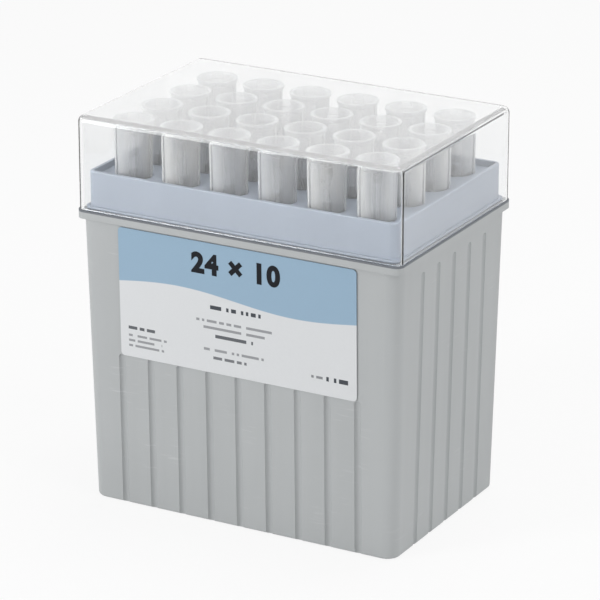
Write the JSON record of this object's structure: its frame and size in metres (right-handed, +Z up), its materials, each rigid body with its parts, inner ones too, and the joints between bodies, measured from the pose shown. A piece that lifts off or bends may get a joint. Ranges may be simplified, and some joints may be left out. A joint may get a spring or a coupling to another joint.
{
  "type": "box of pipette tips",
  "caption": "Tall moulded box with a tray of large pipette tips standing in its mouth, a clear lid hinged at the back and a label on the front.",
  "frame": {"origin": "centre of the base box's flat underside", "axes": "+Z up through the box, -Y towards the label, +Y towards the hinge, +X to the right when the label faces the viewer"},
  "size_m": [0.147, 0.1068, 0.1644],
  "materials": {
    "base": "light grey moulded polypropylene",
    "tray": "pale lavender moulded polypropylene",
    "lid": "clear glossy moulded plastic",
    "label": "printed paper with a blue field",
    "tips": "translucent natural polypropylene"
  },
  "bodies": {
    "box": {"base_box": "base", "tip_tray": "tray", "label": "label", "tip_a1": "tips", "tip_a2": "tips", "tip_a3": "tips", "tip_a4": "tips", "tip_a5": "tips", "tip_a6": "tips", "tip_b1": "tips", "tip_b2": "tips", "tip_b3": "tips", "tip_b4": "tips", "tip_b5": "tips", "tip_b6": "tips", "tip_c1": "tips", "tip_c2": "tips", "tip_c3": "tips", "tip_c4": "tips", "tip_c5": "tips", "tip_c6": "tips", "tip_d1": "tips", "tip_d2": "tips", "tip_d3": "tips", "tip_d4": "tips", "tip_d5": "tips", "tip_d6": "tips"},
    "lid": {"lid": "lid"}
  },
  "joints": [
    {"name": "lid_hinge", "type": "hinge", "parent": "box", "child": "lid", "pos_m": [0, 0.0521, 0.129], "axis": [-1, 0, 0], "range_deg": [0, 110]}
  ]
}
